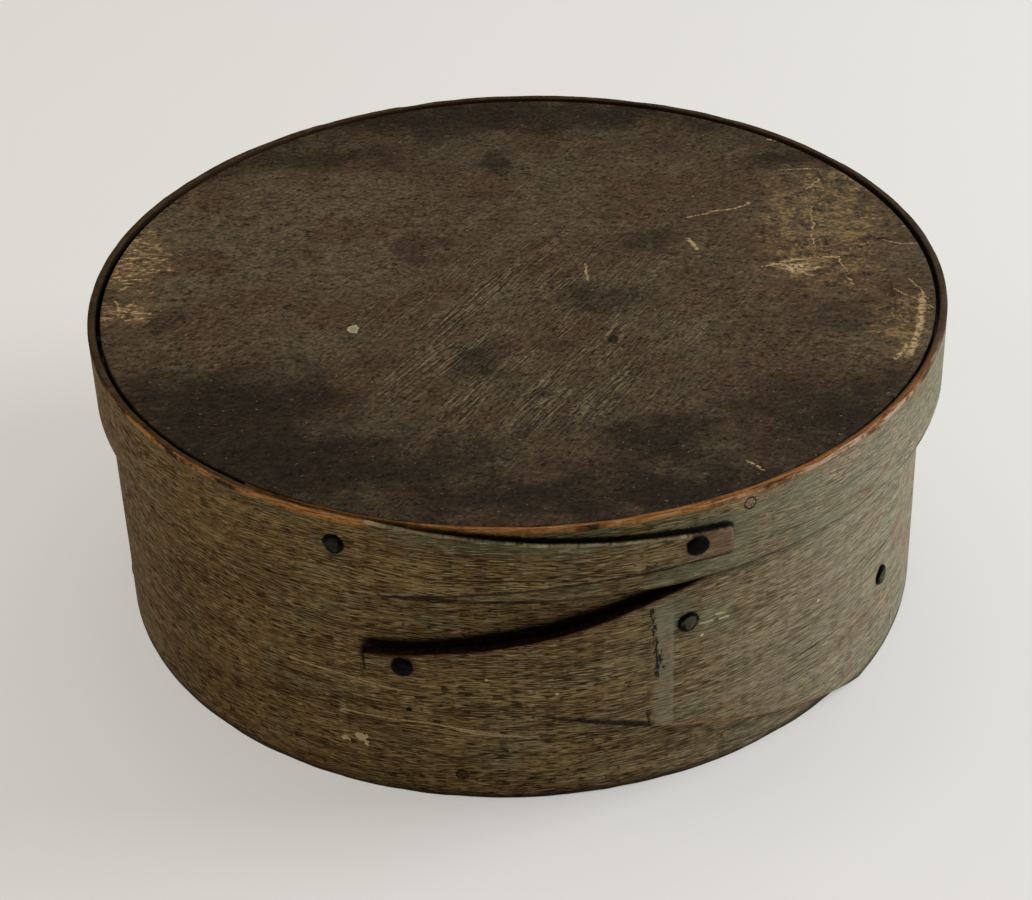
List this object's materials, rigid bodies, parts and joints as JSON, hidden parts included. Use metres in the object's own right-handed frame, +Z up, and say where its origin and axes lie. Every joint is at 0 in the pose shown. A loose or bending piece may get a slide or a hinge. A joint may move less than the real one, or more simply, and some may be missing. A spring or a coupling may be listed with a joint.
{
  "type": "round pantry box",
  "caption": "Round bentwood pantry box with lapped, tacked bands, pegged boards and a lift-off lid, in worn grey-green paint.",
  "frame": {"origin": "on the box's axis, at the foot that it stands on", "axes": "+Z up, -Y towards the front with the two finger laps, +X to the right as seen from the front"},
  "size_m": [0.2109, 0.2128, 0.0794],
  "materials": {
    "band_paint": "thin grey-green paint, worn to brown wood along the grain and at the edges",
    "lid_paint": "dark soiled green-brown paint, scuffed to bare wood near the edge",
    "bare_wood": "unpainted, darkened with age",
    "tack_iron": "black iron, dull",
    "peg_wood": "end grain, painted over and darkened"
  },
  "bodies": {
    "box": {"box_band": "band_paint", "box_bottom": "bare_wood", "box_tip_tack": "tack_iron", "box_middle_tack": "tack_iron", "box_root_tack": "tack_iron", "bottom_peg_1": "peg_wood", "bottom_peg_2": "peg_wood", "bottom_peg_3": "peg_wood", "bottom_peg_4": "peg_wood", "bottom_peg_5": "peg_wood", "bottom_peg_6": "peg_wood", "bottom_peg_7": "peg_wood", "bottom_peg_8": "peg_wood", "bottom_peg_9": "peg_wood", "bottom_peg_10": "peg_wood"},
    "lid": {"lid_band": "band_paint", "lid_board": "lid_paint", "lid_tip_tack": "tack_iron", "lid_root_tack": "tack_iron", "lid_peg_1": "peg_wood", "lid_peg_2": "peg_wood", "lid_peg_3": "peg_wood", "lid_peg_4": "peg_wood", "lid_peg_5": "peg_wood", "lid_peg_6": "peg_wood", "lid_peg_7": "peg_wood", "lid_peg_8": "peg_wood", "lid_peg_9": "peg_wood"}
  },
  "joints": [
    {"name": "lid_lift", "type": "slide", "parent": "box", "child": "lid", "axis": [0, 0, 1], "range_m": [0, 0.12]}
  ]
}
